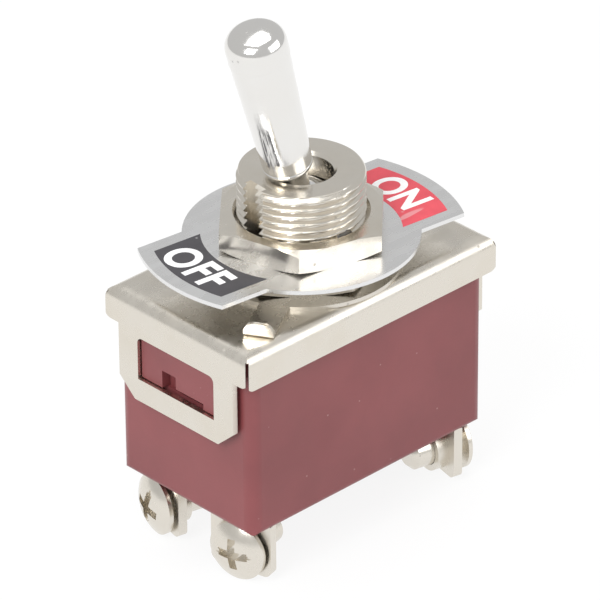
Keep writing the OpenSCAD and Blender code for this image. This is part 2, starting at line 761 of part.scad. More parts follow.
module screw(gap, turn) {
    dome_h = head_h - head_rim_h;
    dome_r = (head_r * head_r + dome_h * dome_h) / (2 * dome_h);
    tip = 0.5;
    difference() {
        translate([gap, 0, 0]) rotate([0, 90, 0]) {
            cylinder(h = head_rim_h, r = head_r);
            intersection() {
                translate([0, 0, head_h - dome_r]) sphere(dome_r);
                translate([0, 0, head_rim_h - small]) cylinder(h = dome_h + 1, r = head_r);
            }
            translate([0, 0, -screw_l + tip]) cylinder(h = screw_l - tip + small, r = screw_r);
            translate([0, 0, -screw_l]) cylinder(h = tip, r1 = screw_r - tip, r2 = screw_r);
        }
        translate([gap + head_h, 0, 0]) rotate([turn, 0, 0]) {
            cube([2 * head_rim_h, slot_l, slot_w], center = true);
            cube([2 * dome_h, cross_l, cross_w], center = true);
            cube([2 * dome_h, cross_w, cross_l], center = true);
        }
    }
}

module terminal_screws() {
    color([0.83, 0.82, 0.80]) for (s = screws)
        at_terminal(s[0], s[1]) translate([0, 0, -housing_depth - screw_drop]) screw(s[2], s[3]);
}

housing();
cover();
bushing();
pivot_pin();
locating_washer();
lower_nut();
indicator_plate();
upper_nut();
lever();
actuator();
plunger(-1);  // plunger_front
plunger(1);  // plunger_rear
plunger_spring(-1);  // plunger_spring_front
plunger_spring(1);  // plunger_spring_rear
rocker(-1);  // rocker_front
rocker(1);  // rocker_rear
rocker_contact(-1);  // rocker_contact_front
rocker_contact(1);  // rocker_contact_rear
fixed_terminal(-1);  // fixed_terminal_front
fixed_terminal(1);  // fixed_terminal_rear
fixed_contact(-1);  // fixed_contact_front
fixed_contact(1);  // fixed_contact_rear
common_terminal(-1);  // common_terminal_front
common_terminal(1);  // common_terminal_rear
terminal_screws();
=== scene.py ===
"""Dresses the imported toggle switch: finishes, thread, screws, printed plate and a plain studio."""

import math

import bmesh
import bpy
from mathutils import Matrix, Vector


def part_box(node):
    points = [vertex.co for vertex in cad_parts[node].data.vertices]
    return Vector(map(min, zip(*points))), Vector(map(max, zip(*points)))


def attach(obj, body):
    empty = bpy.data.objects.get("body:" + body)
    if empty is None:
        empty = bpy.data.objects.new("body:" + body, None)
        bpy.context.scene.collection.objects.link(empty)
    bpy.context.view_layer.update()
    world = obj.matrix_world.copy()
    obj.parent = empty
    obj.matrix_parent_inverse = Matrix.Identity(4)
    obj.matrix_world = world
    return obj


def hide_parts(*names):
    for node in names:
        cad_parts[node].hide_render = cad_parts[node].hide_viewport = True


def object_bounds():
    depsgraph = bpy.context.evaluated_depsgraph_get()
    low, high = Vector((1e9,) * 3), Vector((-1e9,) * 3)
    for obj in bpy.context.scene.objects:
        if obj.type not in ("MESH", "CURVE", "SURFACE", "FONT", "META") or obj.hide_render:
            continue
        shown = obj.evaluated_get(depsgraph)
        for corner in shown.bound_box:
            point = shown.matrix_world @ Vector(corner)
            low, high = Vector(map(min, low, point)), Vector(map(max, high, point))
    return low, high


bl_info = {
    "name": "Toggle Switch Dresser",
    "version": (1, 0, 0),
    "blender": (4, 5, 0),
    "location": "3D View > Sidebar > Switch",
    "description": "Finishes and fine detail for a two-pole panel toggle switch",
    "category": "Object",
}

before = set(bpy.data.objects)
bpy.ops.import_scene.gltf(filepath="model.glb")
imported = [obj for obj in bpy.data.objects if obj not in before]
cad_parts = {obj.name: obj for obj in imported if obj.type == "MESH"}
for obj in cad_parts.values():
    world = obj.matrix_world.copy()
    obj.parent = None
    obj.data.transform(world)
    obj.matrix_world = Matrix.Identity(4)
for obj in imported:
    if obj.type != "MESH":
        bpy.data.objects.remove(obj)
CAD_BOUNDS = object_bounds()
MM = 0.001
BASE_BODY = "switch_body"

# Where the CAD pieces lie
PLATE_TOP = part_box("indicator_plate")[1].z
BUSHING_LOW, BUSHING_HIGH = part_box("bushing")
SWITCH_LOW = Vector(CAD_BOUNDS[0])


# ---- sizes and colours that a user would change ----


def length(name, description, default, **limits):
    return bpy.props.FloatProperty(
        name=name,
        description=description,
        default=default,
        unit="LENGTH",
        precision=5,
        **limits,
    )


def angle(name, description, degrees):
    return bpy.props.FloatProperty(
        name=name,
        description=description,
        default=math.radians(degrees),
        subtype="ANGLE",
    )


def colour(name, description, default):
    return bpy.props.FloatVectorProperty(
        name=name,
        description=description,
        default=default,
        size=3,
        min=0,
        max=1,
        subtype="COLOR",
    )


class SwitchSizes(bpy.types.PropertyGroup):
    """Sizes of the fine detail that the solids leave plain."""

    thread_pitch: length("Thread Pitch", "Pitch of the bushing's thread", 0.75 * MM)
    thread_depth: length("Thread Depth", "Depth of the bushing's thread", 0.42 * MM)
    thread_radius: length("Thread Radius", "Radius over the bushing's crests", 5.9 * MM)
    field_width: length("Field Width", "Width of the printed fields", 10.2 * MM)
    field_inner: length("Field Inner Radius", "Inner radius of the printed fields", 9.2 * MM)
    field_outer: length("Field Outer Radius", "Outer radius of the printed fields", 13.75 * MM)
    letter_height: length("Letter Height", "Height of the printed letters", 3.6 * MM)
    ink: length("Ink Thickness", "Thickness of a layer of print", 0.012 * MM)
    plate_turn: angle("Plate Turn", "Turn of the plate about the bushing", -7)


class SwitchColours(bpy.types.PropertyGroup):
    """Colours of the finishes."""

    phenolic: colour("Housing", "Moulded housing", (0.215, 0.052, 0.056))
    nickel: colour("Nickel", "Nickel plating", (0.74, 0.70, 0.63))
    bright: colour("Bright Plating", "Plating of the lever", (0.82, 0.81, 0.79))
    plate: colour("Plate", "Bare metal of the plate", (0.80, 0.80, 0.80))
    off_field: colour("OFF Field", "Printed field behind OFF", (0.055, 0.052, 0.058))
    on_field: colour("ON Field", "Printed field behind ON", (0.66, 0.075, 0.10))
    letters: colour("Letters", "Printed letters", (0.86, 0.86, 0.86))


def sizes():
    return bpy.context.scene.switch_sizes


def colours():
    return bpy.context.scene.switch_colours


# ---- materials ----


class NodeTree:
    """Short way to build a material's nodes."""

    def __init__(self, name):
        self.material = bpy.data.materials.new(name)
        self.material.use_nodes = True
        self.nodes = self.material.node_tree.nodes
        self.links = self.material.node_tree.links
        self.shader = self.nodes["Principled BSDF"]
        self.place = self.add("ShaderNodeTexCoord").outputs["Object"]

    def add(self, kind, **settings):
        node = self.nodes.new(kind)
        for key, value in settings.items():
            setattr(node, key, value)
        return node

    def put(self, value, socket):
        if isinstance(value, bpy.types.NodeSocket):
            self.links.new(value, socket)
        else:
            socket.default_value = value

    def stretched(self, scale, turn=(0, 0, 0)):
        mapping = self.add("ShaderNodeMapping")
        self.put(self.place, mapping.inputs["Vector"])
        mapping.inputs["Scale"].default_value = scale
        mapping.inputs["Rotation"].default_value = turn
        return mapping.outputs["Vector"]

    def noise(self, scale, detail=3.0, roughness=0.5, where=None):
        node = self.add("ShaderNodeTexNoise")
        self.put(where or self.place, node.inputs["Vector"])
        node.inputs["Scale"].default_value = scale
        node.inputs["Detail"].default_value = detail
        node.inputs["Roughness"].default_value = roughness
        return node.outputs["Fac"]

    def remap(self, value, low, high, to_low, to_high):
        node = self.add("ShaderNodeMapRange")
        for key, number in zip(("Value", "From Min", "From Max", "To Min", "To Max"),
                               (value, low, high, to_low, to_high)):
            self.put(number, node.inputs[key])
        return node.outputs["Result"]

    def math(self, operation, a, b=0.0):
        node = self.add("ShaderNodeMath", operation=operation)
        self.put(a, node.inputs[0])
        self.put(b, node.inputs[1])
        return node.outputs["Value"]

    def mix(self, factor, a, b, blend="MIX"):
        node = self.add("ShaderNodeMix", data_type="RGBA", blend_type=blend)
        self.put(factor, node.inputs["Factor"])
        for value, socket in ((a, node.inputs[6]), (b, node.inputs[7])):
            self.put(value if isinstance(value, bpy.types.NodeSocket) else (*value, 1), socket)
        return node.outputs[2]

    def bump(self, height, distance, normal=None, strength=1.0):
        node = self.add("ShaderNodeBump")
        self.put(height, node.inputs["Height"])
        node.inputs["Distance"].default_value = distance
        node.inputs["Strength"].default_value = strength
        if normal is not None:
            self.put(normal, node.inputs["Normal"])
        return node.outputs["Normal"]

    def specks(self, scale, size, share):
        """Mask of small round specks on a share of the cells."""
        cells = self.add("ShaderNodeTexVoronoi")
        self.put(self.place, cells.inputs["Vector"])
        cells.inputs["Scale"].default_value = scale
        near = self.remap(cells.outputs["Distance"], size, 0.6 * size, 0.0, 1.0)
        pick = self.add("ShaderNodeSeparateColor")
        self.put(cells.outputs["Color"], pick.inputs["Color"])
        chosen = self.math("LESS_THAN", pick.outputs["Red"], share)
        return self.math("MULTIPLY", near, chosen)

    def finish(self, **values):
        for key, value in values.items():
            self.put(value, self.shader.inputs[key.replace("_", " ")])
        return self.material


def darker(rgb, factor):
    return tuple(channel * factor for channel in rgb)


def phenolic():
    """Moulded resin: cloudy maroon with fine flow marks and a dull skin."""
    tree = NodeTree("moulded_phenolic")
    base = tuple(colours().phenolic)
    cloud = tree.noise(90, 4, 0.55)
    flow = tree.noise(220, 3, 0.5, tree.stretched((1, 1, 0.12)))
    tint = tree.mix(tree.remap(cloud, 0.35, 0.68, 0, 1), base, darker(base, 0.82))
    tint = tree.mix(tree.remap(flow, 0.62, 0.78, 0, 0.3), tint, darker(base, 1.25))
    dust = tree.specks(1500, 0.16, 0.03)
    tint = tree.mix(tree.math("MULTIPLY", dust, 0.35), tint, (0.55, 0.42, 0.40))
    grain = tree.noise(2600, 3, 0.6)
    normal = tree.bump(cloud, 0.00004)
    normal = tree.bump(grain, 0.000006, normal)
    rough = tree.remap(tree.noise(160, 3), 0.3, 0.7, 0.34, 0.46)
    return tree.finish(Base_Color=tint, Roughness=rough, Normal=normal, Specular_IOR_Level=0.5)


def plated(name, base, low=0.16, high=0.34, stain=0.12, brush=None, ripple=0.00002):
    """Plated metal: cloudy sheen, faint stains, fine pits and, if asked, brush lines."""
    tree = NodeTree(name)
    cloud = tree.noise(170, 4, 0.55)
    warm = (base[0] * 0.86, base[1] * 0.80, base[2] * 0.68)
    tint = tree.mix(tree.remap(cloud, 0.45, 0.75, 0, stain), base, warm)
    pits = tree.specks(1100, 0.2, 0.05)
    tint = tree.mix(tree.math("MULTIPLY", pits, 0.5), tint, darker(base, 0.55))
    rough = tree.remap(tree.noise(420, 4, 0.6), 0.3, 0.7, low, high)
    rough = tree.math("ADD", rough, tree.math("MULTIPLY", pits, 0.25))
    normal = tree.bump(tree.noise(130, 2), ripple)
    if brush is not None:
        lines = tree.noise(700, 3, 0.6, tree.stretched(brush))
        normal = tree.bump(lines, 0.000008, normal)
        rough = tree.math("ADD", rough, tree.remap(lines, 0.35, 0.7, -0.03, 0.08))
    else:
        normal = tree.bump(tree.noise(2200, 2), 0.000003, normal)
    return tree.finish(Base_Color=tint, Metallic=1.0, Roughness=rough, Normal=normal)


def printed(name, base, wear=0.35):
    """Ink on metal, with the fine scratches that show the metal through."""
    tree = NodeTree(name)
    patch = tree.noise(350, 3, 0.6)
    tint = tree.mix(tree.remap(patch, 0.35, 0.7, 0, 1), base, darker(base, 0.86))
    scratch = tree.noise(900, 2, 0.4, tree.stretched((0.12, 1, 1), (0, 0, 0.7)))
    lines = tree.remap(scratch, 0.74, 0.78, 0, 1)
    chips = tree.specks(900, 0.22, 0.06)
    worn = tree.math("MULTIPLY", tree.math("MAXIMUM", lines, chips), wear)
    tint = tree.mix(worn, tint, (0.75, 0.75, 0.75))
    rough = tree.remap(patch, 0.3, 0.7, 0.38, 0.5)
    normal = tree.bump(tree.noise(1500, 2), 0.000003)
    return tree.finish(Base_Color=tint, Roughness=rough, Normal=normal, Specular_IOR_Level=0.4)


def moulded(name, base):
    """Plain dull plastic for the inner block."""
    tree = NodeTree(name)
    cloud = tree.noise(300, 3)
    tint = tree.mix(tree.remap(cloud, 0.35, 0.7, 0, 1), base, darker(base, 1.5))
    normal = tree.bump(tree.noise(2500, 2), 0.000006)
    return tree.finish(Base_Color=tint, Roughness=tree.remap(cloud, 0.3, 0.7, 0.45, 0.6), Normal=normal)


def dress(node, material):
    """Gives a CAD node its finish."""
    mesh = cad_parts[node].data
    mesh.materials.clear()
    mesh.materials.append(material)


# ---- mesh helpers ----


def piece(name, mesh, material, body=BASE_BODY, stands_for=()):
    """Links a finished mesh as a piece of the switch."""
    obj = bpy.data.objects.new(name, mesh)
    bpy.context.scene.collection.objects.link(obj)
    if material is not None:
        mesh.materials.clear()
        mesh.materials.append(material)
    if stands_for:
        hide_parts(*stands_for)
    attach(obj, body)
    return obj


def mesh_from(name, build):
    """Mesh made by a function that fills a bmesh."""
    bm = bmesh.new()
    build(bm)
    mesh = bpy.data.meshes.new(name)
    bm.to_mesh(mesh)
    bm.free()
    return mesh


def turned(bm, outline, segments=96):
    """Turns an outline of (radius, height) points round Z, closed where it meets the axis."""
    loops = []
    for radius, height in outline:
        if radius < 1e-7:
            loops.append([bm.verts.new((0, 0, height))])
            continue
        steps = (2 * math.pi * k / segments for k in range(segments))
        loops.append([bm.verts.new((radius * math.cos(a), radius * math.sin(a), height)) for a in steps])
    for low, high in zip(loops, loops[1:]):
        for k in range(segments):
            n = (k + 1) % segments
            ring = [low[k % len(low)], low[n % len(low)], high[n % len(high)], high[k % len(high)]]
            corners = list(dict.fromkeys(ring))
            if len(corners) > 2:
                bm.faces.new(corners)
    bmesh.ops.recalc_face_normals(bm, faces=bm.faces)


def cut(obj, *tools):
    """Takes the tool meshes out of an object and returns the plain mesh that is left."""
    helpers = []
    for mesh in tools:
        helper = bpy.data.objects.new("cutter", mesh)
        bpy.context.scene.collection.objects.link(helper)
        helpers.append(helper)
        modifier = obj.modifiers.new("cut", "BOOLEAN")
        modifier.operation = "DIFFERENCE"
        modifier.solver = "EXACT"
        modifier.object = helper
    result = evaluated(obj)
    for helper in helpers:
        mesh = helper.data
        bpy.data.objects.remove(helper)
        bpy.data.meshes.remove(mesh)
    return result


def evaluated(obj):
    """Plain mesh of an object with its modifiers applied; the object is removed."""
    bpy.context.view_layer.update()
    graph = bpy.context.evaluated_depsgraph_get()
    mesh = bpy.data.meshes.new_from_object(obj.evaluated_get(graph))
    bpy.data.objects.remove(obj)
    return mesh


def crease_shading(mesh, degrees=32):
    """Smooth shading that stays sharp at edges above an angle."""
    mesh.shade_smooth()
    mesh.set_sharp_from_angle(angle=math.radians(degrees))


# ---- Geometry Nodes ----


class GeometryTree:
    """Short way to build a Geometry Nodes tree with named inputs."""

    def __init__(self, name):
        self.tree = bpy.data.node_groups.new(name, "GeometryNodeTree")
        self.tree.interface.new_socket("Geometry", in_out="INPUT", socket_type="NodeSocketGeometry")
        self.tree.interface.new_socket("Geometry", in_out="OUTPUT", socket_type="NodeSocketGeometry")
        self.source = self.tree.nodes.new("NodeGroupInput")
        self.sink = self.tree.nodes.new("NodeGroupOutput")

    def input(self, name, kind="Float", **limits):
        socket = self.tree.interface.new_socket(name, in_out="INPUT", socket_type="NodeSocket" + kind)
        for key, value in limits.items():
            setattr(socket, key, value)
        return self.source.outputs[name]

    def add(self, kind, inputs=None, **settings):
        node = self.tree.nodes.new(kind)
        for key, value in settings.items():
            setattr(node, key, value)
        for key, value in (inputs or {}).items():
            self.put(value, node.inputs[key])
        return node

    def put(self, value, socket):
        if isinstance(value, bpy.types.NodeSocket):
            self.tree.links.new(value, socket)
        else:
            socket.default_value = value

    def math(self, operation, a, b=0.0, c=0.0):
        node = self.add("ShaderNodeMath", {0: a, 1: b, 2: c}, operation=operation)
        return node.outputs[0]

    def end(self, geometry, material):
        """Realises the result, sets its material and hands it out."""
        real = self.add("GeometryNodeRealizeInstances", {"Geometry": geometry})
        dressed = self.add("GeometryNodeSetMaterial", {"Geometry": real.outputs[0], "Material": material})
        self.tree.links.new(dressed.outputs[0], self.sink.inputs["Geometry"])
        return self.tree


def run_tree(tree, base_mesh, values):
    """Mesh that a tree makes from a base mesh with the given input values."""
    obj = bpy.data.objects.new("tree_base", base_mesh)
    bpy.context.scene.collection.objects.link(obj)
    modifier = obj.modifiers.new("tree", "NODES")
    modifier.node_group = tree
    for item in tree.interface.items_tree:
        if item.item_type == "SOCKET" and item.in_out == "INPUT" and item.name in values:
            modifier[item.identifier] = values[item.name]
    return evaluated(obj)


def threaded_rod_tree():
    """A closed rod along Z whose wall is a helical thread that fades out at both ends."""
    g = GeometryTree("threaded_rod")
    crest = g.input("Crest Radius")
    depth = g.input("Depth")
    pitch = g.input("Pitch")
    low = g.input("Low End")
    high = g.input("High End")
    around = g.input("Points Around", "Int")
    along = g.input("Points Along", "Int")
    fade = g.input("Fade")
    finish = g.input("Finish", "Material")

    grid = g.add("GeometryNodeMeshGrid", {
        "Size X": 1.0, "Size Y": 1.0, "Vertices X": around, "Vertices Y": along,
    })
    place = g.add("ShaderNodeSeparateXYZ", {0: g.add("GeometryNodeInputPosition").outputs[0]})
    turn = g.math("ADD", place.outputs["X"], 0.5)
    share = g.math("ADD", place.outputs["Y"], 0.5)
    span = g.math("SUBTRACT", high, low)
    height = g.math("MULTIPLY_ADD", share, span, low)
    phase = g.math("FRACT", g.math("SUBTRACT", g.math("DIVIDE", height, pitch), turn))
    ridge = g.math("ABSOLUTE", g.math("SUBTRACT", g.math("MULTIPLY", phase, 2.0), 1.0))
    groove = g.add("ShaderNodeMapRange", {"Value": ridge, "From Min": 0.12, "From Max": 0.86}).outputs[0]
    to_end = g.math("MINIMUM", g.math("SUBTRACT", height, low), g.math("SUBTRACT", high, height))
    ease = g.add("ShaderNodeMapRange", {"Value": to_end, "From Max": fade}).outputs[0]
    shrink = g.math("MULTIPLY", depth, groove)
    rim = g.math("MULTIPLY", g.math("MULTIPLY", depth, 0.6), g.math("SUBTRACT", 1.0, ease))
    radius = g.math("SUBTRACT", crest, g.math("MAXIMUM", shrink, rim))
    ends = g.math("GREATER_THAN", g.math("ABSOLUTE", place.outputs["Y"]), 0.4999)
    radius = g.math("MULTIPLY", radius, g.math("SUBTRACT", 1.0, ends))
    arc = g.math("MULTIPLY", turn, 2 * math.pi)
    x = g.math("MULTIPLY", radius, g.math("COSINE", arc))
    y = g.math("MULTIPLY", radius, g.math("SINE", arc))
    spot = g.add("ShaderNodeCombineXYZ", {"X": x, "Y": y, "Z": height})
    moved = g.add("GeometryNodeSetPosition", {"Geometry": grid.outputs["Mesh"], "Position": spot.outputs[0]})
    closed = g.add("GeometryNodeMergeByDistance", {"Geometry": moved.outputs[0], "Distance": 1e-6})
    return g.end(closed.outputs[0], finish)


def threaded_rod(crest, depth, pitch, low, high, around, per_pitch, fade, finish):
    """Closed threaded rod with its faces pointing outwards."""
    rows = max(8, round((high - low) / pitch * per_pitch))
    mesh = run_tree(threaded_rod_tree(), bpy.data.meshes.new("rod_base"), {
        "Crest Radius": crest, "Depth": depth, "Pitch": pitch, "Low End": low, "High End": high,
        "Points Around": around + 1, "Points Along": rows, "Fade": fade, "Finish": finish,
    })
    bm = bmesh.new()
    bm.from_mesh(mesh)
    bmesh.ops.recalc_face_normals(bm, faces=bm.faces)
    bm.to_mesh(mesh)
    bm.free()
    return mesh


# ---- the pieces ----


class SwitchOperator:
    """Common ground of this add-on's operators."""

    bl_options = {"REGISTER", "UNDO"}


class SWITCH_OT_dress_housing(SwitchOperator, bpy.types.Operator):
    """Gives the moulded housing its maroon resin"""

    bl_idname = "switch.dress_housing"
    bl_label = "Dress Housing"

    def execute(self, context):
        dress("housing", phenolic())
        return {"FINISHED"}


class SWITCH_OT_dress_cover(SwitchOperator, bpy.types.Operator):
    """Gives the folded cover its satin nickel plating"""

    bl_idname = "switch.dress_cover"
    bl_label = "Dress Cover"

    def execute(self, context):
        nickel = tuple(colours().nickel)
        dress("cover", plated("cover_nickel", nickel, 0.2, 0.34, 0.25, brush=(0.05, 1, 1)))
        return {"FINISHED"}


class SWITCH_OT_make_bushing(SwitchOperator, bpy.types.Operator):
    """Makes the threaded bushing with its keyway, mouth and ball chamber"""

    bl_idname = "switch.make_bushing"
    bl_label = "Make Bushing"

    key_width: length("Keyway Width", "Width of the keyway", 2.2 * MM)
    key_floor: length("Keyway Floor", "Distance of the keyway's floor from the axis", 4.9 * MM)
    key_turn: angle("Keyway Turn", "Direction of the keyway", 175)
    mouth: length("Mouth Radius", "Radius of the mouth", 2.95 * MM)
    mouth_chamfer: length("Mouth Chamfer", "Chamfer on the mouth's edge", 0.35 * MM)
    mouth_length: length("Mouth Length", "Length of the mouth", 2.4 * MM)
    cone_height: length("Cone Height", "Height of the cone below the mouth", 0.9 * MM)
    chamber: length("Chamber Radius", "Radius round the lever's ball", 4.1 * MM)
    pin_height: length("Pin Height", "Height of the pivot pin", 4.6 * MM)
    pin_radius: length("Pin Hole Radius", "Radius of the pin's hole", 0.91 * MM)
    sheet: length("Sheet", "Thickness of the cover's sheet, under which the flange lies", 0.55 * MM)
    thread_fade: length("Thread Fade", "Length over which the thread runs out", 0.4 * MM)

    def bore(self, bm):
        low, high = BUSHING_LOW.z - MM, BUSHING_HIGH.z
        mouth_low = high - self.mouth_length
        cone_low = mouth_low - self.cone_height
        outline = [
            (0, low), (self.chamber, low), (self.chamber, cone_low), (self.mouth, mouth_low),
            (self.mouth, high - self.mouth_chamfer), (self.mouth + self.mouth_chamfer, high),
            (self.mouth + self.mouth_chamfer, high + MM), (0, high + MM),
        ]
        turned(bm, outline, 128)

    def keyway(self, bm):
        made = bmesh.ops.create_cube(bm, size=1)["verts"]
        size = Vector((3 * MM, self.key_width, 12 * MM))
        middle = Vector((self.key_floor + size.x / 2, 0, size.z / 2))
        turn = Matrix.Rotation(self.key_turn, 4, "Z")
        place = turn @ Matrix.Translation(middle) @ Matrix.Diagonal((*size, 1))
        bmesh.ops.transform(bm, matrix=place, verts=made)

    def pin_hole(self, bm):
        turned(bm, [(0, -8 * MM), (self.pin_radius, -8 * MM), (self.pin_radius, 8 * MM), (0, 8 * MM)], 32)
        turn = Matrix.Translation((0, 0, self.pin_height)) @ Matrix.Rotation(math.pi / 2, 4, "X")
        bmesh.ops.transform(bm, matrix=turn, verts=bm.verts)

    def execute(self, context):
        size = sizes()
        nickel = plated("bushing_nickel", tuple(colours().nickel), 0.14, 0.28, 0.3, ripple=0.00003)
        rod = threaded_rod(size.thread_radius, size.thread_depth, size.thread_pitch,
                           -0.5 * MM, BUSHING_HIGH.z, 180, 14, self.thread_fade, nickel)
        body = bpy.data.objects.new("bushing_blank", rod)
        context.scene.collection.objects.link(body)
        mesh = cut(body, mesh_from("bore", self.bore), mesh_from("keyway", self.keyway),
                   mesh_from("pin_hole", self.pin_hole))
        crease_shading(mesh, 28)
        flange = mesh_from("flange", lambda bm: turned(bm, [
            (self.chamber, BUSHING_LOW.z), (BUSHING_HIGH.x, BUSHING_LOW.z),
            (BUSHING_HIGH.x, -self.sheet), (self.chamber, -self.sheet), (self.chamber, BUSHING_LOW.z)]))
        bm = bmesh.new()
        bm.from_mesh(mesh)
        bm.from_mesh(flange)
        bm.to_mesh(mesh)
        bm.free()
        piece("threaded_bushing", mesh, nickel, BASE_BODY, ("bushing",))
        dress("bushing", nickel)
        return {"FINISHED"}


class SWITCH_OT_dress_hardware(SwitchOperator, bpy.types.Operator):
    """Gives the nuts and the locating washer their plating"""

    bl_idname = "switch.dress_hardware"
    bl_label = "Dress Hardware"

    def execute(self, context):
        nickel = tuple(colours().nickel)
        nuts = plated("nut_nickel", nickel, 0.16, 0.32, 0.25, ripple=0.00005)
        dress("upper_nut", nuts)
        dress("lower_nut", nuts)
        dress("locating_washer", plated("washer_nickel", darker(nickel, 0.95), 0.2, 0.36, 0.4))
        return {"FINISHED"}


class SWITCH_OT_print_plate(SwitchOperator, bpy.types.Operator):
    """Prints the two fields and their words on the indicator plate"""

    bl_idname = "switch.print_plate"
    bl_label = "Print Plate"

    off_width: length("OFF Width", "Width of the word OFF", 7.5 * MM)
    on_width: length("ON Width", "Width of the word ON", 5.9 * MM)
    word_radius: length("Word Radius", "Distance of the words from the bushing's axis", 11.35 * MM)
    off_aside: length("OFF Aside", "Shift of the word OFF to the rear", 0.4 * MM)
    on_aside: length("ON Aside", "Shift of the word ON to the rear", 0.2 * MM)

    def field(self, bm, turn):
        """Flat field between two arcs and two parallel sides, raised by one layer of ink."""
        size = sizes()
        half = size.field_width / 2
        rim = []
        for radius, sign in ((size.field_outer, 1), (size.field_inner, -1)):
            limit = math.asin(half / radius)
            steps = [sign * limit * (2 * k / 24 - 1) for k in range(25)]
            rim += [Vector((radius * math.cos(a), radius * math.sin(a), 0)) for a in steps]
        low = [bm.verts.new(point) for point in rim]
        face = bm.faces.new(low)
        raised = bmesh.ops.extrude_face_region(bm, geom=[face])["geom"]
        top = [v for v in raised if isinstance(v, bmesh.types.BMVert)]
        bmesh.ops.translate(bm, vec=(0, 0, size.ink), verts=top)
        bmesh.ops.recalc_face_normals(bm, faces=bm.faces)
        place = Matrix.Translation((0, 0, PLATE_TOP)) @ Matrix.Rotation(size.plate_turn + turn, 4, "Z")
        bmesh.ops.transform(bm, matrix=place, verts=bm.verts)

    def word(self, text, width, turn, side):
        """Bold word whose letters stand towards +X and read from +Y to -Y."""
        size = sizes()
        curve = bpy.data.curves.new("word_" + text, "FONT")
        curve.body = text
        curve.size = 1.0
        curve.offset = 0.032
        curve.space_character = 1.06
        curve.extrude = 0.01
        obj = bpy.data.objects.new("word_" + text, curve)
        bpy.context.scene.collection.objects.link(obj)
        mesh = evaluated(obj)
        points = [v.co for v in mesh.vertices]
        low = Vector([min(p[i] for p in points) for i in range(3)])
        high = Vector([max(p[i] for p in points) for i in range(3)])
        middle = (low + high) / 2
        scale = Matrix.Diagonal((width / (high.x - low.x), size.letter_height / (high.y - low.y),
                                 1.2 * size.ink / (high.z - low.z), 1))
        upright = Matrix.Rotation(-math.pi / 2, 4, "Z")
        spot = Matrix.Rotation(size.plate_turn + turn, 4, "Z") @ Vector((self.word_radius, 0, 0))
        place = Matrix.Translation((spot.x, spot.y + side, PLATE_TOP + 1.2 * size.ink))
        lean = Matrix.Rotation(size.plate_turn, 4, "Z")
        mesh.transform(place @ lean @ upright @ scale @ Matrix.Translation(-middle))
        return mesh

    def execute(self, context):
        tint = colours()
        metal = plated("plate_aluminium", tuple(tint.plate), 0.2, 0.32, 0.05,
                       brush=(0.04, 1, 1), ripple=0.00001)
        dress("indicator_plate", metal)
        white = printed("white_ink", tuple(tint.letters), 0.1)
        dark = printed("dark_ink", tuple(tint.off_field), 0.5)
        red = printed("red_ink", tuple(tint.on_field), 0.25)
        for name, ink, word, width, turn, side in (
            ("off", dark, "OFF", self.off_width, math.pi, self.off_aside),
            ("on", red, "ON", self.on_width, 0.0, self.on_aside),
        ):
            mesh = mesh_from(name + "_field", lambda bm: self.field(bm, turn))
            piece(name + "_field", mesh, ink, BASE_BODY)
            piece(name + "_word", self.word(word, width, turn, side), white, BASE_BODY)
        return {"FINISHED"}


class SWITCH_OT_dress_lever(SwitchOperator, bpy.types.Operator):
    """Gives the bat lever its bright plating"""

    bl_idname = "switch.dress_lever"
    bl_label = "Dress Lever"

    def execute(self, context):
        bright = tuple(colours().bright)
        dress("lever", plated("lever_bright", bright, 0.07, 0.16, 0.1, ripple=0.00002))
        return {"FINISHED"}


class SWITCH_OT_dress_terminals(SwitchOperator, bpy.types.Operator):
    """Gives the four terminals and the contacts their metals"""

    bl_idname = "switch.dress_terminals"
    bl_label = "Dress Terminals"

    def execute(self, context):
        nickel = tuple(colours().nickel)
        strip = plated("terminal_nickel", nickel, 0.2, 0.36, 0.25, brush=(1, 1, 0.06))
        silver = plated("contact_silver", (0.82, 0.81, 0.78), 0.2, 0.35, 0.1)
        for side in ("front", "rear"):
            dress("fixed_terminal_" + side, strip)
            dress("common_terminal_" + side, strip)
            dress("fixed_contact_" + side, silver)
            dress("rocker_contact_" + side, silver)
        return {"FINISHED"}


class SWITCH_OT_dress_inside(SwitchOperator, bpy.types.Operator):
    """Gives the pieces inside the housing their finishes"""

    bl_idname = "switch.dress_inside"
    bl_label = "Dress Inside"

    def execute(self, context):
        steel = plated("spring_steel", (0.55, 0.55, 0.57), 0.25, 0.4, 0.1)
        brass = plated("plunger_brass", (0.62, 0.42, 0.17), 0.22, 0.38, 0.2)
        copper = plated("rocker_copper", (0.66, 0.33, 0.18), 0.25, 0.4, 0.2, brush=(0.06, 1, 1))
        dress("pivot_pin", steel)
        dress("actuator", moulded("actuator_resin", (0.02, 0.02, 0.022)))
        for side in ("front", "rear"):
            dress("plunger_spring_" + side, steel)
            dress("plunger_" + side, brass)
            dress("rocker_" + side, copper)
        return {"FINISHED"}


class SWITCH_OT_dress_screws(SwitchOperator, bpy.types.Operator):
    """Gives the terminal screws their plating"""

    bl_idname = "switch.dress_screws"
    bl_label = "Dress Screws"

    def execute(self, context):
        nickel = plated("screw_nickel", tuple(colours().nickel), 0.18, 0.32, 0.2, ripple=0.00004)
        dress("terminal_screws", nickel)
        return {"FINISHED"}


# ---- the stage ----


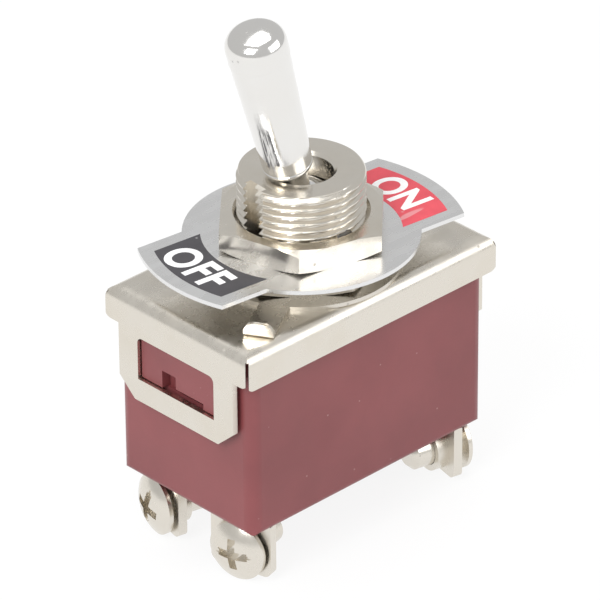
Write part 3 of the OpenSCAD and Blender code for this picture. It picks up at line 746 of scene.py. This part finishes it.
class SWITCH_OT_set_stage(SwitchOperator, bpy.types.Operator):
    """Sets the pale floor, the soft lamps, the world and the camera"""

    bl_idname = "switch.set_stage"
    bl_label = "Set Stage"

    azimuth: angle("Azimuth", "Camera's turn from straight in front", -43.692)
    elevation: angle("Elevation", "Camera's height above the horizon", 30.448)
    roll: angle("Roll", "Camera's roll", 0.441)
    distance: length("Distance", "Distance from the camera to the switch", 523.39 * MM)
    aside: length("Aside", "Sideways offset of the switch in view", 0.168 * MM)
    above: length("Above", "Upward offset of the switch in view", 3.664 * MM)
    lens: bpy.props.FloatProperty(name="Lens", description="Focal length in millimetres", default=345.93)

    def camera(self, context):
        toward = Vector((math.sin(self.azimuth) * math.cos(self.elevation),
                         -math.cos(self.azimuth) * math.cos(self.elevation), math.sin(self.elevation)))
        right = Vector((math.cos(self.azimuth), math.sin(self.azimuth), 0))
        up = toward.cross(right)
        across = right * math.cos(self.roll) - up * math.sin(self.roll)
        upward = right * math.sin(self.roll) + up * math.cos(self.roll)
        data = bpy.data.cameras.new("camera")
        data.lens = self.lens
        data.sensor_width = 36
        data.clip_start = 0.01
        data.clip_end = 20
        camera = bpy.data.objects.new("camera", data)
        place = Matrix((across, upward, toward)).transposed().to_4x4()
        place.translation = toward * self.distance - across * self.aside - upward * self.above
        camera.matrix_world = place
        context.scene.collection.objects.link(camera)
        context.scene.camera = camera

    def floor(self, context):
        def build(bm):
            bmesh.ops.create_circle(bm, cap_ends=True, segments=96, radius=4.0)
            bmesh.ops.translate(bm, vec=(0, 0, SWITCH_LOW.z), verts=bm.verts)

        tree = NodeTree("studio_floor")
        rays = tree.add("ShaderNodeLightPath")
        cloud = tree.noise(3, 2)
        tint = tree.mix(tree.remap(cloud, 0.3, 0.7, 0, 1), (0.86, 0.86, 0.86), (0.84, 0.84, 0.84))
        tree.finish(Base_Color=tint, Roughness=0.8)
        glow = tree.add("ShaderNodeEmission")
        glow.inputs["Color"].default_value = (1, 1, 1, 1)
        blend = tree.add("ShaderNodeMixShader")
        shown = tree.math("MAXIMUM", rays.outputs["Is Camera Ray"], rays.outputs["Is Glossy Ray"])
        tree.put(tree.math("MULTIPLY", shown, 0.88), blend.inputs["Fac"])
        tree.put(tree.shader.outputs[0], blend.inputs[1])
        tree.put(glow.outputs[0], blend.inputs[2])
        tree.put(blend.outputs[0], tree.nodes["Material Output"].inputs["Surface"])
        mesh = mesh_from("floor", build)
        mesh.materials.append(tree.material)
        floor = bpy.data.objects.new("floor", mesh)
        context.scene.collection.objects.link(floor)

    def lamp(self, context, name, place, size, power, tint=(1, 1, 1)):
        data = bpy.data.lights.new(name, "AREA")
        data.shape = "RECTANGLE"
        data.size = size[0]
        data.size_y = size[1]
        data.energy = power
        data.color = tint
        lamp = bpy.data.objects.new(name, data)
        aim = Vector((0, 0, -5 * MM)) - Vector(place)
        lamp.matrix_world = Matrix.Translation(place) @ aim.to_track_quat("-Z", "Y").to_matrix().to_4x4()
        context.scene.collection.objects.link(lamp)

    def world(self, context):
        world = bpy.data.worlds.new("studio_world")
        world.use_nodes = True
        nodes = world.node_tree.nodes
        links = world.node_tree.links
        back = nodes["Background"]
        back.inputs["Color"].default_value = (1, 1, 1, 1)
        rays = nodes.new("ShaderNodeLightPath")
        shown = nodes.new("ShaderNodeMath")
        shown.operation = "MAXIMUM"
        links.new(rays.outputs["Is Camera Ray"], shown.inputs[0])
        links.new(rays.outputs["Is Transmission Ray"], shown.inputs[1])
        strength = nodes.new("ShaderNodeMapRange")
        strength.inputs["To Min"].default_value = 0.62
        strength.inputs["To Max"].default_value = 1.0
        links.new(shown.outputs[0], strength.inputs["Value"])
        links.new(strength.outputs[0], back.inputs["Strength"])
        context.scene.world = world

    def execute(self, context):
        self.camera(context)
        self.floor(context)
        self.world(context)
        self.lamp(context, "key", (-0.5, -0.12, 0.42), (0.35, 0.35), 3.2)
        self.lamp(context, "fill", (0.25, -0.5, 0.3), (0.5, 0.4), 1.2)
        self.lamp(context, "top", (0.0, 0.1, 0.7), (0.5, 0.5), 2.0)
        context.scene.view_settings.view_transform = "Standard"
        return {"FINISHED"}


# ---- panel and registration ----

OPERATORS = (
    SWITCH_OT_dress_housing,
    SWITCH_OT_dress_cover,
    SWITCH_OT_make_bushing,
    SWITCH_OT_dress_hardware,
    SWITCH_OT_print_plate,
    SWITCH_OT_dress_lever,
    SWITCH_OT_dress_terminals,
    SWITCH_OT_dress_inside,
    SWITCH_OT_dress_screws,
    SWITCH_OT_set_stage,
)


class SWITCH_PT_panel(bpy.types.Panel):
    """Lists the switch's sizes, colours and operators"""

    bl_idname = "SWITCH_PT_panel"
    bl_label = "Toggle Switch"
    bl_space_type = "VIEW_3D"
    bl_region_type = "UI"
    bl_category = "Switch"

    def draw(self, context):
        layout = self.layout
        for group in (context.scene.switch_sizes, context.scene.switch_colours):
            for name in group.__annotations__:
                layout.prop(group, name)
        for operator in OPERATORS:
            layout.operator(operator.bl_idname)


CLASSES = (SwitchSizes, SwitchColours, *OPERATORS, SWITCH_PT_panel)


def register():
    for cls in CLASSES:
        bpy.utils.register_class(cls)
    bpy.types.Scene.switch_sizes = bpy.props.PointerProperty(type=SwitchSizes)
    bpy.types.Scene.switch_colours = bpy.props.PointerProperty(type=SwitchColours)


def unregister():
    del bpy.types.Scene.switch_colours
    del bpy.types.Scene.switch_sizes
    for cls in reversed(CLASSES):
        bpy.utils.unregister_class(cls)


def main():
    register()
    for operator in OPERATORS:
        group, name = operator.bl_idname.split(".")
        getattr(getattr(bpy.ops, group), name)()


if __name__ == "__main__":
    main()
